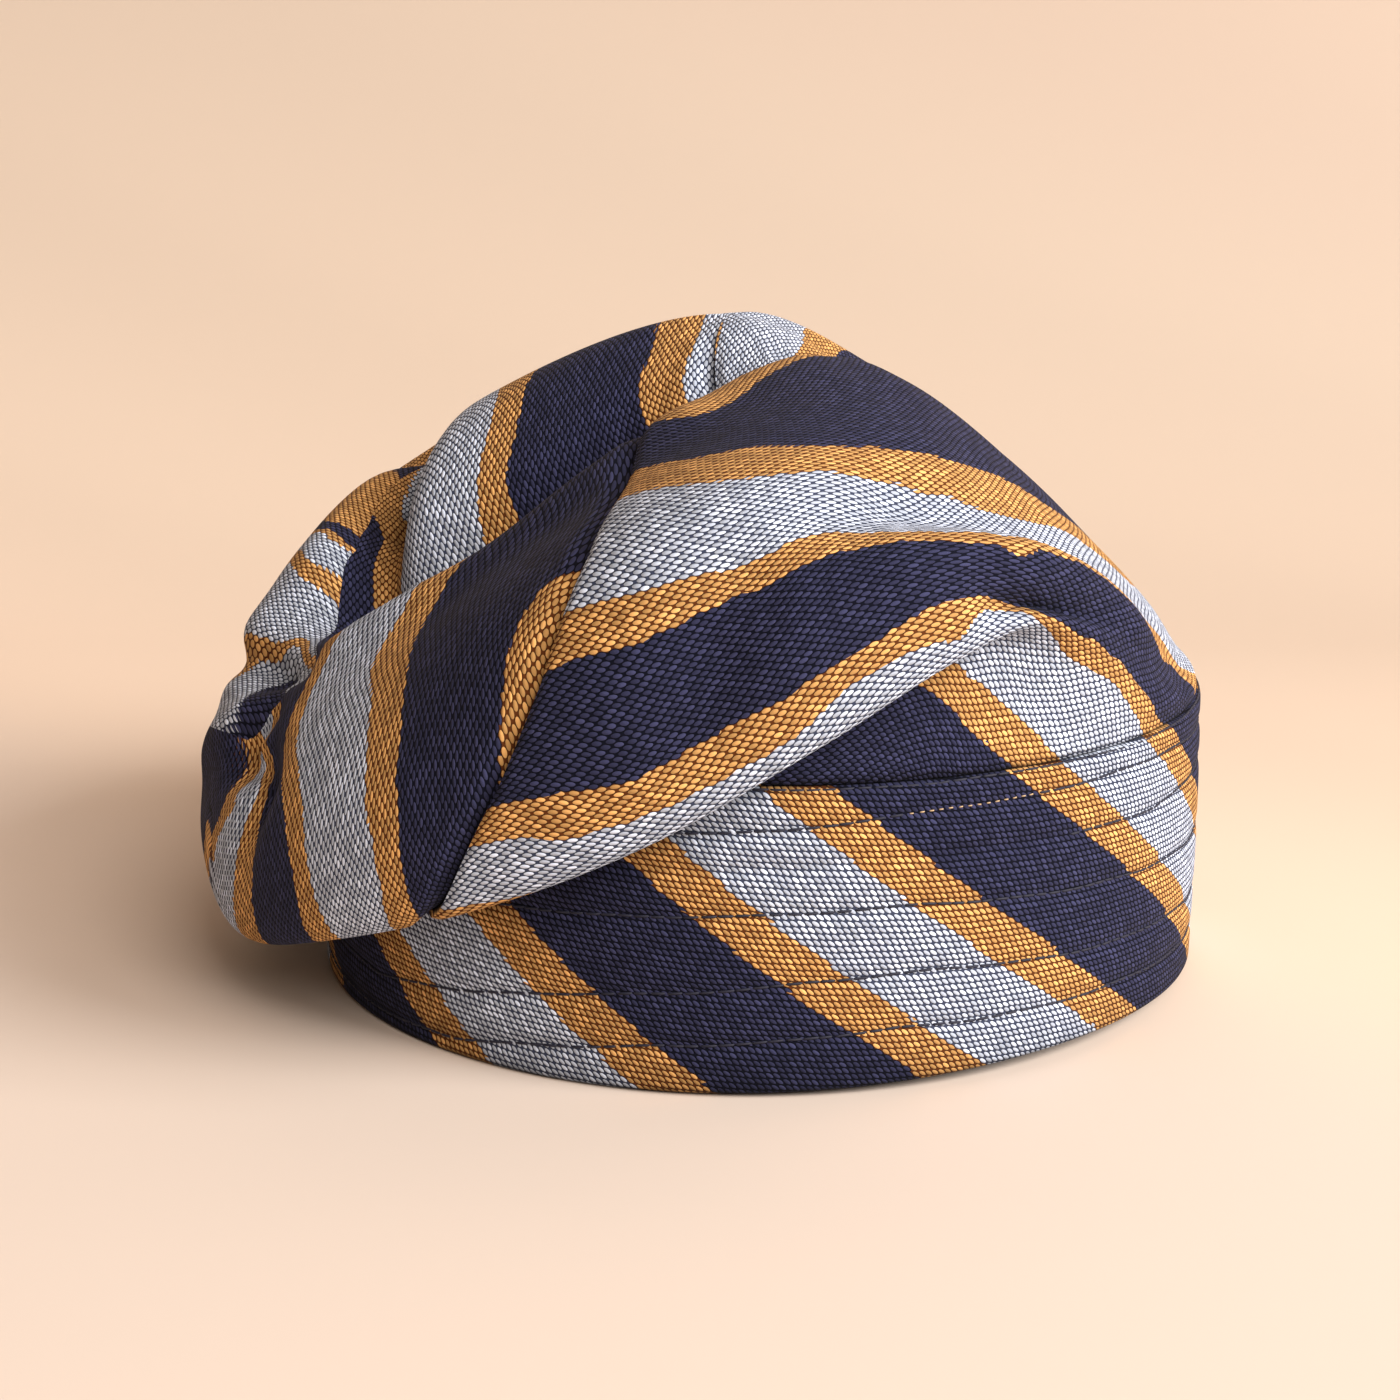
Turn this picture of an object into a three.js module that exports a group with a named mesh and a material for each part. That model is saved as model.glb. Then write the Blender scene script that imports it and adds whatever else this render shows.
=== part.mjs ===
// A soft striped smock hat: an upright stitched band and a roomy two-panel crown
// that flops over the band at the front left. Millimetres, +Z up.
import * as THREE from 'three';

// Band
const bandRadius = 96;
const bandWall = 3;
const bandHeight = 61.3;
const bandHem = 1.2;
const bandSides = 96;

// Crown cloth
const crownWall = 1.4;
const seamGap = 0.3;
const crownFootRadius = 95;
const crownFootHeight = bandHeight + seamGap;
const footRun = 6;

// A deeper overhang turns at its lip in a rounder curve
const lipRoundness = 1;
const fullOverhang = 12;

// The top of the crown, measured from the axis of the band
const poleX = -6;
const poleY = 14;
const poleHeight = 138;

// How far each station's centre has moved from the band's axis towards the pole
const stationDrift = [0, 0, 0, 0, 0.3, 0.72, 1];

// Rows of faces between one station and the next, from the foot to the pole
const stationRows = [2, 5, 5, 7, 7, 5];

// Sections of the crown by angle, 0 right, 90 back, 180 left, 270 front. Each column pair is a
// radius and a height: tuck is the hidden turn above the band, lip the lower edge of the overhang,
// then belly, shoulder and upper lead to the pole.
const sectionColumns = ['angle', 'tuck', 'lip', 'belly', 'shoulder', 'upper'];
const sections = [
  [0, [94.5, 64], [91.5, 67.5], [85, 77], [70, 94], [37, 120]],
  [30, [95, 64], [93.5, 67.5], [88, 77], [75, 97], [41, 122]],
  [60, [96, 65.5], [97, 69.5], [96.5, 80], [82, 101], [46, 124]],
  [90, [97.5, 67], [102, 69], [104, 79], [88, 103], [51, 126]],
  [120, [99, 69], [107, 42], [113, 62], [94, 101], [54, 124]],
  [150, [99, 69], [110, 20], [118, 45], [98, 94], [56, 121]],
  [180, [99, 69], [112, 10.5], [121.5, 32], [103, 81], [59, 115.5]],
  [205, [97.5, 67], [114, 15], [122, 36], [105, 69], [60, 103]],
  [225, [99, 69], [114, 27], [121, 48], [102, 77], [62, 100]],
  [240, [99, 70], [112, 37.5], [117, 58], [102, 89], [62, 109]],
  [258, [98.5, 74], [108, 53], [112, 74], [99, 108], [61, 120]],
  [275, [97.5, 83], [105, 71.5], [109, 89], [94, 116], [59, 127]],
  [290, [96.5, 89], [102.5, 86], [104.5, 96], [87, 115], [55, 130]],
  [300, [95.5, 85], [101, 91], [100, 96.5], [83, 112], [52, 129.5]],
  [308, [96, 79], [99, 87], [96, 93.5], [79.5, 108], [49.5, 129]],
  [320, [96.5, 70], [95.5, 77.5], [91, 87], [76, 103], [45.5, 127]],
  [338, [95.3, 64.5], [92.5, 68.5], [86.5, 79], [73, 97], [41, 124]],
];

// Folds and dents of the crown. Each path point is an angle, a station and a height out of the cloth.
const folds = [
  { name: 'crest of the front roll', width: 9,
    path: [[205, 4.15, 1], [212, 4.3, 3], [220, 4.5, 4], [230, 4.75, 4], [242, 4.95, 4], [256, 5.1, 3]] },
  { name: 'valley behind the roll', width: 12,
    path: [[194, 4.2, -5], [202, 4.45, -12], [210, 4.8, -14], [220, 5.1, -13], [232, 5.35, -12],
      [257, 5.55, -10], [305, 5.55, -7], [350, 5.2, -3]] },
  { name: 'ridge on the right panel', width: 9,
    path: [[275, 3.56, 1], [283, 3.5, 4], [290, 3.43, 5], [298, 3.32, 5], [307, 3.1, 5], [316, 2.8, 4],
      [326, 2.3, 2]] },
  { name: 'valley above that ridge', width: 9,
    path: [[270, 3.78, -1], [278, 3.78, -4], [288, 3.84, -5.5], [300, 3.8, -4.5], [315, 3.75, -2]] },
  { name: 'crease above the pinch', width: 5,
    path: [[289, 3.13, -1], [292, 3.09, -2], [295, 2.97, -3], [299, 2.62, -4], [304, 2.42, -5],
      [309, 2.4, -4.5], [315, 2.4, -2]] },
  { name: 'dent in the front', width: 10,
    path: [[267, 3.5, -2], [265, 3.3, -3], [263, 3, -2]] },
  { name: 'valley beside the lobe', width: 8,
    path: [[197, 4.4, -8], [192, 4.5, -13], [183, 4.55, -16], [169, 4.6, -13], [154, 4.5, -7]] },
  { name: 'swell of the lobe', width: 12,
    path: [[189, 3.85, 5], [188, 4.1, 3], [186, 4.4, 2]] },
  { name: 'crease under the lobe', width: 6,
    path: [[206, 4.06, -2.5], [200, 3.96, -4], [193, 3.86, -4], [186, 3.72, -3], [181, 3.62, -1]] },
  { name: 'hood over the end of the roll', width: 6,
    path: [[204, 3.92, 1], [200, 3.72, 3], [196, 3.58, 3], [190, 3.4, 2]] },
  { name: 'crease at the end of the roll', width: 5,
    path: [[205, 3.8, -3], [203, 3.65, -5], [204, 3.52, -5], [208, 3.52, -3]] },
  { name: 'pleat at the end of the roll', width: 6,
    path: [[209, 3.6, -2], [212, 3.4, -5], [212, 3.15, -3], [212, 2.9, -1]] },
];
const foldSteps = 6;
const foldsStart = 2;
const foldsFull = 2.7;

// The front seam between the panels leans to the right as it climbs
const frontSeamAngle = 244;
const backSeamAngle = 70;
const seamLean = [[0, -8], [2, -8], [3, 0], [3.5, 4], [4.1, 7], [6, 8]];
const seamLeanReach = 60;

// Panels, each with the stretches of angle that its columns of faces fill
const fullTurn = 360;
const panels = [
  { name: 'crown_right', colour: 0x39406a,
    stretches: [[frontSeamAngle, 334, 26], [334, fullTurn + backSeamAngle, 14]] },
  { name: 'crown_left', colour: 0x8d93a6,
    stretches: [[backSeamAngle, 166, 14], [166, frontSeamAngle, 24]] },
];
const bandColour = 0x5f6072;
const clothRoughness = 0.9;

const radians = THREE.MathUtils.degToRad;
const smoothstep = THREE.MathUtils.smoothstep;
const tuckStation = 1;
const lipStation = 2;
const poleStation = stationRows.length;

// Reach in angle and station over which a normal is taken, and how near the pole it still is
const fineReach = [0.1, 0.005];
const wallReach = [1.5, 0.12];
const poleMargin = 0.05;

// Value of a cubic between two points with the given slopes
function hermite(t, start, end, startSlope, endSlope) {
  const t2 = t * t;
  const t3 = t2 * t;
  const rise = 3 * t2 - 2 * t3;
  return start * (1 - rise) + end * rise + startSlope * (t3 - 2 * t2 + t) + endSlope * (t3 - t2);
}

// Section row counted round the turn, so that row -1 is the last one a turn back
function sectionRow(index) {
  const count = sections.length;
  const turn = Math.floor(index / count);
  const row = sections[index - turn * count];
  return { angle: row[0] + fullTurn * turn, row };
}

// One named column of the sections at any angle: a radius and a height
function sectionAt(column, angle) {
  const item = sectionColumns.indexOf(column);
  const wrapped = THREE.MathUtils.euclideanModulo(angle, fullTurn);
  let index = 0;
  while (sectionRow(index + 1).angle <= wrapped) index += 1;
  const [before, from, to, after] = [index - 1, index, index + 1, index + 2].map(sectionRow);
  const gap = to.angle - from.angle;
  const t = (wrapped - from.angle) / gap;
  return [0, 1].map((part) => {
    const value = (entry) => entry.row[item][part];
    const rate = (low, high) => (value(high) - value(low)) / (high.angle - low.angle);
    const slope = (low, mid, high) => {
      const left = mid.angle - low.angle;
      const right = high.angle - mid.angle;
      return (rate(low, mid) * right + rate(mid, high) * left) / (left + right);
    };
    const startSlope = slope(before, from, to) * gap;
    const endSlope = slope(from, to, after) * gap;
    return hermite(t, value(from), value(to), startSlope, endSlope);
  });
}

// The stations of one meridian as points in space, with an extra point past each end
function meridian(angle) {
  const direction = new THREE.Vector2(Math.cos(radians(angle)), Math.sin(radians(angle)));
  const place = (station, radius, height) => new THREE.Vector3(
    poleX * stationDrift[station] + radius * direction.x,
    poleY * stationDrift[station] + radius * direction.y,
    height,
  );
  const points = [place(0, crownFootRadius, crownFootHeight - footRun)];
  points.push(place(0, crownFootRadius, crownFootHeight));
  sectionColumns.slice(1).forEach((column, index) => {
    const [radius, height] = sectionAt(column, angle);
    points.push(place(index + 1, radius, height));
  });
  points.push(new THREE.Vector3(poleX, poleY, poleHeight));
  const [farRadius, farHeight] = sectionAt('upper', angle + fullTurn / 2);
  points.push(place(poleStation - 1, -farRadius, farHeight));
  return points;
}

// A point of the smooth crown: the meridian as a centripetal curve through its stations
function smoothCrown(angle, station) {
  const points = meridian(angle);
  const span = Math.min(Math.floor(station), poleStation - 1);
  const [p0, p1, p2, p3] = points.slice(span, span + 4);
  const [d0, d1, d2] = [[p0, p1], [p1, p2], [p2, p3]].map(([a, b]) => Math.sqrt(a.distanceTo(b)));
  const [tuck, lip] = [points[tuckStation + 1], points[lipStation + 1]];
  const turn = 1 + lipRoundness * smoothstep(tuck.z - lip.z, 0, fullOverhang);
  const startPull = d1 * (span === lipStation ? turn : 1);
  const endPull = d1 * (span === tuckStation ? turn : 1);
  const result = new THREE.Vector3();
  for (const axis of ['x', 'y', 'z']) {
    const rate = (a, b, length) => (b[axis] - a[axis]) / length;
    const start = startPull * (rate(p0, p1, d0) - rate(p0, p2, d0 + d1) + rate(p1, p2, d1));
    const end = endPull * (rate(p1, p2, d1) - rate(p1, p3, d1 + d2) + rate(p2, p3, d2));
    result[axis] = hermite(station - span, p1[axis], p2[axis], start, end);
  }
  return result;
}

// Outward normal of a surface given by angle and station, taken across a small reach of the cloth
function surfaceNormal(surface, angle, station, angleReach, stationReach) {
  const low = Math.max(station - stationReach, 0);
  const high = Math.min(station + stationReach, poleStation - poleMargin);
  const at = Math.min(station, poleStation - poleMargin);
  const round = surface(angle + angleReach, at).sub(surface(angle - angleReach, at));
  const up = surface(angle, high).sub(surface(angle, low));
  return round.cross(up).normalize();
}

// Fold paths as chains of points on the smooth crown
const foldChains = folds.map(({ width, path }) => {
  const marks = path.map(([angle, station]) => smoothCrown(angle, station));
  const curve = new THREE.CatmullRomCurve3(marks);
  const count = (path.length - 1) * foldSteps;
  const links = [];
  for (let step = 0; step <= count; step += 1) {
    const along = step / foldSteps;
    const from = Math.min(Math.floor(along), path.length - 2);
    const height = THREE.MathUtils.lerp(path[from][2], path[from + 1][2], along - from);
    links.push({ point: curve.getPoint(step / count), height });
  }
  return { width, links };
});

// How far the folds move a point out of the smooth crown
function foldHeight(point, station) {
  const gate = smoothstep(station, foldsStart, foldsFull);
  if (gate === 0) return 0;
  let total = 0;
  const line = new THREE.Line3();
  const nearest = new THREE.Vector3();
  for (const { width, links } of foldChains) {
    let best = Infinity;
    let height = 0;
    for (let index = 0; index + 1 < links.length; index += 1) {
      line.set(links[index].point, links[index + 1].point);
      const t = line.closestPointToPointParameter(point, true);
      const distance = line.at(t, nearest).distanceTo(point);
      if (distance < best) {
        best = distance;
        height = THREE.MathUtils.lerp(links[index].height, links[index + 1].height, t);
      }
    }
    total += height * Math.exp(-((best / width) ** 2));
  }
  return total * gate;
}

// A point of the crown with its folds
function foldedCrown(angle, station) {
  const point = smoothCrown(angle, station);
  const height = foldHeight(point, station);
  if (height === 0) return point;
  return point.addScaledVector(surfaceNormal(smoothCrown, angle, station, ...fineReach), height);
}

// Angle of a column at a station, leaning with the front seam near it
function leanedAngle(angle, station) {
  let index = 0;
  while (index + 2 < seamLean.length && seamLean[index + 1][0] <= station) index += 1;
  const [from, lean] = seamLean[index];
  const [to, nextLean] = seamLean[index + 1];
  const shift = THREE.MathUtils.mapLinear(station, from, to, lean, nextLean);
  const away = Math.abs(angle - frontSeamAngle);
  return angle + shift * (1 - smoothstep(away, 0, seamLeanReach));
}

// Stations of every row of the grid, with the pole left out
const rowStations = stationRows.flatMap((rows, span) => (
  Array.from({ length: rows }, (unused, row) => span + row / rows)
));

// A closed cloth panel: outer and inner skins, both ending at the pole, with walls along the edges
function crownPanel(stretches) {
  const angles = stretches.flatMap(([from, to, columns]) => (
    Array.from({ length: columns }, (unused, column) => THREE.MathUtils.lerp(from, to, column / columns))
  ));
  angles.push(stretches[stretches.length - 1][1]);
  const lastColumn = angles.length - 1;
  const lastRow = rowStations.length - 1;
  const outer = [];
  const inner = [];
  const edgeShift = new THREE.Vector3();
  angles.forEach((columnAngle, column) => {
    const side = Number(column === 0) - Number(column === lastColumn);
    rowStations.forEach((station, row) => {
      const angle = leanedAngle(columnAngle, station);
      const point = foldedCrown(angle, station);
      const normal = surfaceNormal(foldedCrown, angle, station, ...wallReach);
      if (side !== 0) {
        const round = foldedCrown(angle + fineReach[0], station)
          .sub(foldedCrown(angle - fineReach[0], station)).normalize();
        point.addScaledVector(round, side * seamGap / 2);
        if (row === lastRow) edgeShift.addScaledVector(round, side);
      }
      outer.push(point);
      inner.push(point.clone().addScaledVector(normal, -crownWall));
    });
  });
  const pole = smoothCrown(frontSeamAngle, poleStation);
  pole.z += foldHeight(pole, poleStation);
  pole.addScaledVector(edgeShift.normalize(), seamGap / 2);
  const rows = rowStations.length;
  const innerStart = outer.length + 1;
  const corners = [...outer, pole, ...inner, pole.clone().setZ(pole.z - crownWall)];
  const outerAt = (column, row) => (row > lastRow ? innerStart - 1 : column * rows + row);
  const innerAt = (column, row) => innerStart + outerAt(column, row);
  const innerPole = corners.length - 1;
  const faces = [];
  const quad = (a, b, c, d) => faces.push([a, b, c], [a, c, d]);
  const innerOrPole = (column, row) => (row > lastRow ? innerPole : innerAt(column, row));
  for (let column = 0; column < lastColumn; column += 1) {
    for (let row = 0; row < lastRow; row += 1) {
      const next = column + 1;
      quad(outerAt(column, row), outerAt(next, row), outerAt(next, row + 1), outerAt(column, row + 1));
      quad(innerAt(column, row), innerAt(column, row + 1), innerAt(next, row + 1), innerAt(next, row));
    }
    faces.push([outerAt(column, lastRow), outerAt(column + 1, lastRow), outerAt(column, rows)]);
    faces.push([innerAt(column, lastRow), innerPole, innerAt(column + 1, lastRow)]);
    quad(outerAt(column, 0), innerAt(column, 0), innerAt(column + 1, 0), outerAt(column + 1, 0));
  }
  for (let row = 0; row < rows; row += 1) {
    quad(outerAt(0, row), outerAt(0, row + 1), innerOrPole(0, row + 1), innerOrPole(0, row));
    quad(outerAt(lastColumn, row), innerOrPole(lastColumn, row), innerOrPole(lastColumn, row + 1),
      outerAt(lastColumn, row + 1));
  }
  const geometry = new THREE.BufferGeometry().setFromPoints(corners);
  geometry.setIndex(faces.flat());
  return geometry;
}

// The band: a ring with softened edges, turned up from the lathe's axis
function bandRing() {
  const outerFoot = bandRadius - bandHem / 2;
  const innerRadius = bandRadius - bandWall;
  const profile = [
    [innerRadius, 0], [outerFoot, 0], [bandRadius, bandHem], [bandRadius, bandHeight - bandHem],
    [outerFoot, bandHeight], [innerRadius, bandHeight], [innerRadius, 0],
  ].map(([radius, height]) => new THREE.Vector2(radius, height));
  return new THREE.LatheGeometry(profile, bandSides).rotateX(Math.PI / 2);
}

function clothMaterial(colour) {
  return new THREE.MeshStandardMaterial({ color: colour, roughness: clothRoughness, metalness: 0 });
}

function piece(name, geometry, colour) {
  const mesh = new THREE.Mesh(geometry, clothMaterial(colour));
  mesh.name = name;
  return mesh;
}

// The origin is on the resting plane, under the middle of the whole hat
const hat = new THREE.Group();
hat.add(piece('band', bandRing(), bandColour));
panels.forEach(({ name, colour, stretches }) => hat.add(piece(name, crownPanel(stretches), colour)));
const middle = new THREE.Box3().setFromObject(hat).getCenter(new THREE.Vector3());
hat.position.set(-middle.x, -middle.y, 0);

export default hat;
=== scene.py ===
import bpy
import math
import numpy as np
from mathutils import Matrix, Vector


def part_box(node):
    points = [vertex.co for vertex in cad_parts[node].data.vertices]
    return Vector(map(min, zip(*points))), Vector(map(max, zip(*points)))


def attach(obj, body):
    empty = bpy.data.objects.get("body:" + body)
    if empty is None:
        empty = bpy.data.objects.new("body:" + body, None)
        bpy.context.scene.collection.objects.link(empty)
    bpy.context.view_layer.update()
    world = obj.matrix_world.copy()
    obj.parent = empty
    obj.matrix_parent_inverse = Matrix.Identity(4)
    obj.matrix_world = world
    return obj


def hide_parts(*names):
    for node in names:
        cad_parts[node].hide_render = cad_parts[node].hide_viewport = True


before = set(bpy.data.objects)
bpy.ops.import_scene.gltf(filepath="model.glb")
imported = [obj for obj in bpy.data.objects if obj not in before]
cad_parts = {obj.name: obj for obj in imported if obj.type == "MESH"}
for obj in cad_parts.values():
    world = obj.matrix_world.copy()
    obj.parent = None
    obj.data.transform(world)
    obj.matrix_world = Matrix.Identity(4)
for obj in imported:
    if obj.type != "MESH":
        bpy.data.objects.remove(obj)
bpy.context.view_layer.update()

mm = 0.001
bandLow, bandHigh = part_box("band")
axis = np.array([(bandLow.x + bandHigh.x) / 2, (bandLow.y + bandHigh.y) / 2, 0])  # middle of the band
chance = np.random.default_rng(7)


def ease(value, low, high):
    part = np.clip((value - low) / (high - low), 0, 1)
    return part * part * (3 - 2 * part)


def hermite(t, start, end, startSlope, endSlope):
    rise = t * t * (3 - 2 * t)
    return start + (end - start) * rise + t * (t - 1) * (startSlope * (t - 1) + endSlope * t)


def unit(vectors):
    return vectors / np.maximum(np.linalg.norm(vectors, axis=-1, keepdims=True), 1e-9)


# The crown, in millimetres from the axis of the band
crown = {
    "foot": (95, 61.6), "footRun": 6, "lipRoundness": 1, "fullOverhang": 12,
    "pole": (-6, 14, 138), "drift": (0, 0, 0, 0, 0.3, 0.72, 1), "wall": 1.4,
    "frontSeam": 244, "backSeam": 70, "leanReach": 60, "edgeGap": 0.15,
    "seamLean": ((0, -8), (2, -8), (3, 0), (3.5, 4), (4.1, 7), (6, 8)),
    "spanRows": (8, 16, 26, 34, 36, 26), "columns": 300,
    "edgeColumns": (0.08, 0.2, 0.36, 0.56, 0.8),  # extra columns where the seam turns in
    "lastStation": 5.985, "seamFade": (5.6, 5.95), "lastNormal": 5.94, "probe": (0.1, 0.005),
    "foldFade": (2, 2.7), "foldLinks": 6,
    "sections": (  # angle, 270 at the front, then radius and height at tuck, lip, belly, shoulder and upper
        (0, (94.5, 64), (91.5, 67.5), (85, 77), (70, 94), (37, 120)),
        (30, (95, 64), (93.5, 67.5), (88, 77), (75, 97), (41, 122)),
        (60, (96, 65.5), (97, 69.5), (96.5, 80), (82, 101), (46, 124)),
        (90, (97.5, 67), (102, 69), (104, 79), (88, 103), (51, 126)),
        (120, (99, 69), (107, 42), (113, 62), (94, 101), (54, 124)),
        (150, (99, 69), (110, 20), (118, 45), (98, 94), (56, 121)),
        (180, (99, 69), (112, 10.5), (121.5, 32), (103, 81), (59, 115.5)),
        (205, (97.5, 67), (114, 15), (122, 36), (105, 69), (60, 103)),
        (225, (99, 69), (114, 27), (121, 48), (102, 77), (62, 100)),
        (240, (99, 70), (112, 37.5), (117, 58), (102, 89), (62, 109)),
        (258, (98.5, 74), (108, 53), (112, 74), (99, 108), (61, 120)),
        (275, (97.5, 83), (105, 71.5), (109, 89), (94, 116), (59, 127)),
        (290, (96.5, 89), (102.5, 86), (104.5, 96), (87, 115), (55, 130)),
        (300, (95.5, 85), (101, 91), (100, 96.5), (83, 112), (52, 129.5)),
        (308, (96, 79), (99, 87), (96, 93.5), (79.5, 108), (49.5, 129)),
        (320, (96.5, 70), (95.5, 77.5), (91, 87), (76, 103), (45.5, 127)),
        (338, (95.3, 64.5), (92.5, 68.5), (86.5, 79), (73, 97), (41, 124)),
    ),
}
sectionAngles = np.array([row[0] for row in crown["sections"]], float)
sectionPlaces = np.array([row[1:] for row in crown["sections"]], float)

# Folds and dents: width, then angle, station and height along the path
folds = {
    "crest of the front roll": (9, ((205, 4.15, 1), (212, 4.3, 3), (220, 4.5, 4), (230, 4.75, 4),
                                    (242, 4.95, 4), (256, 5.1, 3))),
    "valley behind the roll": (12, ((194, 4.2, -5), (202, 4.45, -12), (210, 4.8, -14), (220, 5.1, -13),
                                    (232, 5.35, -12), (257, 5.55, -10), (305, 5.55, -7), (350, 5.2, -3))),
    "ridge on the right panel": (9, ((275, 3.56, 1), (283, 3.5, 4), (290, 3.43, 5), (298, 3.32, 5),
                                     (307, 3.1, 5), (316, 2.8, 4), (326, 2.3, 2))),
    "valley above that ridge": (9, ((270, 3.78, -1), (278, 3.78, -4), (288, 3.84, -5.5), (300, 3.8, -4.5),
                                    (315, 3.75, -2))),
    "crease above the pinch": (4.5, ((289, 3.13, -1), (292, 3.09, -3), (295, 2.97, -5), (299, 2.62, -6),
                                     (304, 2.42, -7), (309, 2.4, -6), (315, 2.4, -2))),
    "dent in the front": (10, ((267, 3.5, -2), (265, 3.3, -3), (263, 3, -2))),
    "valley beside the lobe": (8, ((197, 4.4, -8), (192, 4.5, -13), (183, 4.55, -16), (169, 4.6, -13),
                                   (154, 4.5, -7))),
    "swell of the lobe": (12, ((189, 3.85, 5), (188, 4.1, 3), (186, 4.4, 2))),
    "crease under the lobe": (5, ((206, 4.06, -3), (200, 3.96, -6), (193, 3.86, -6), (186, 3.72, -4.5),
                                  (180, 3.62, -3.5), (172, 3.68, -4), (164, 3.93, -4), (157, 4.22, -3),
                                  (150, 4.4, -1))),
    "pleat on the left": (4, ((174.5, 2.2, -1), (176.4, 2.5, -2.5), (179, 2.8, -3), (183, 3.2, -3),
                              (184.5, 3.42, -1))),
    "hood over the end of the roll": (6, ((204, 3.92, 1), (200, 3.72, 3), (196, 3.58, 3), (190, 3.4, 2))),
    "crease at the end of the roll": (5, ((205, 3.8, -3), (203, 3.65, -5), (204, 3.52, -5), (208, 3.52, -3))),
    "pleat at the end of the roll": (6, ((209, 3.6, -2), (212, 3.4, -5), (212, 3.15, -3), (212, 2.9, -1))),
}


def roundTheTurn(wanted):
    count = len(sectionAngles)
    turn = wanted % 360
    four = (np.searchsorted(sectionAngles, turn, side="right") - 1)[:, None] + np.arange(-1, 3)
    at = (sectionAngles[four % count] + 360 * (four // count))[:, :, None, None]
    picked = sectionPlaces[four % count]
    gap = np.diff(at, axis=1)
    rate = np.diff(picked, axis=1) / gap
    slope = (rate[:, :2] * gap[:, 1:] + rate[:, 1:] * gap[:, :2]) / (gap[:, :2] + gap[:, 1:])
    step = gap[:, 1]
    t = (turn[:, None, None] - at[:, 1]) / step
    return hermite(t, picked[:, 1], picked[:, 2], slope[:, 0] * step, slope[:, 1] * step)


def meridians(angle):
    rings = roundTheTurn(angle)
    far = roundTheTurn(angle + 180)[:, 4]
    radius = np.zeros((len(angle), 9))
    height = np.zeros((len(angle), 9))
    radius[:, :2], height[:, 1] = crown["foot"]
    height[:, 0] = crown["foot"][1] - crown["footRun"]
    radius[:, 2:7], height[:, 2:7] = rings[:, :, 0], rings[:, :, 1]
    height[:, 7] = crown["pole"][2]
    radius[:, 8], height[:, 8] = -far[:, 0], far[:, 1]
    drift = np.array((0,) + crown["drift"] + crown["drift"][5:6])
    turn = np.radians(angle)[:, None]
    across = crown["pole"][0] * drift + radius * np.cos(turn)
    along = crown["pole"][1] * drift + radius * np.sin(turn)
    return np.stack((across, along, height), axis=2)


def curveSlopes(p0, p1, p2, p3):
    links = (p1 - p0, p2 - p1, p3 - p2)
    d0, d1, d2 = (np.sqrt(np.linalg.norm(link, axis=-1, keepdims=True)) for link in links)
    start = d1 * ((p1 - p0) / d0 - (p2 - p0) / (d0 + d1) + (p2 - p1) / d1)
    end = d1 * ((p2 - p1) / d1 - (p3 - p1) / (d1 + d2) + (p3 - p2) / d2)
    return start, end


def smoothCrown(angle, station):
    points = meridians(angle)
    span = np.minimum(station.astype(int), 5)
    rows = np.arange(len(span))
    p0, p1, p2, p3 = (points[rows, span + k] for k in range(4))
    start, end = curveSlopes(p0, p1, p2, p3)
    turn = 1 + crown["lipRoundness"] * ease(points[:, 2, 2] - points[:, 3, 2], 0, crown["fullOverhang"])
    start = start * np.where(span == 2, turn, 1)[:, None]
    end = end * np.where(span == 1, turn, 1)[:, None]
    return hermite((station - span)[:, None], p1, p2, start, end)


def outward(angle, station):
    at = np.minimum(station, crown["lastNormal"])
    turn, rise = crown["probe"]
    around = smoothCrown(angle + turn, at) - smoothCrown(angle - turn, at)
    up = smoothCrown(angle, at + rise) - smoothCrown(angle, np.maximum(at - rise, 0))
    return unit(np.cross(around, up))


def foldHeight(points, width, path):
    path = np.array(path, float)
    marks = smoothCrown(path[:, 0], path[:, 1])
    ends = np.vstack((2 * marks[0] - marks[1], marks, 2 * marks[-1] - marks[-2]))
    best = np.full(len(points), np.inf)
    height = np.zeros(len(points))
    steps = np.linspace(0, 1, crown["foldLinks"] + 1)
    for k in range(len(marks) - 1):
        start, end = curveSlopes(*ends[k:k + 4])
        line = hermite(steps[:, None], marks[k], marks[k + 1], start, end)
        rise = path[k, 2] + (path[k + 1, 2] - path[k, 2]) * steps
        for link in range(crown["foldLinks"]):
            way = line[link + 1] - line[link]
            off = points - line[link]
            t = np.clip(off @ way / (way @ way), 0, 1)
            away = np.linalg.norm(off - t[:, None] * way, axis=1)
            closer = away < best
            best[closer] = away[closer]
            height[closer] = (rise[link] + (rise[link + 1] - rise[link]) * t)[closer]
    return height * np.exp(-(best / width) ** 2)


def crownSurface(angle, station):
    points = smoothCrown(angle, station)
    height = sum(foldHeight(points, *fold) for fold in folds.values()) * ease(station, *crown["foldFade"])
    return points + outward(angle, station) * height[:, None]


def leaned(angle, station):
    at, lean = np.array(crown["seamLean"], float).T
    near = 1 - ease(np.abs(angle - crown["frontSeam"]), 0, crown["leanReach"])
    return angle + np.interp(station, at, lean) * near


# Stripes across the cloth, in millimetres of one repeat: gold, silver, gold, navy
stripes = {"gold": 8.3, "silver": 26.2, "secondGold": 34.7, "repeat": 58}
slack = {"stripes": 0.002, "threads": 0.03}  # threads stray farther from the guides, so they bend less

# How the stripes climb round the band, in millimetres across the cloth
climb = {
    "lean": 34.8,  # degrees
    "middle": (280, 30), "place": -44.2,  # angle and height at the front, half way up, and the stripes there
    "steps": (40, 30), "round": 39.7, "up": 23.3,  # growth in one step round and in one step up
    "bow": 0.8, "fan": 2.6, "curl": 0.6, "seen": (-1.9, 1.6),  # a slight bend, in steps either way
}
lean = math.radians(climb["lean"])


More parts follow.
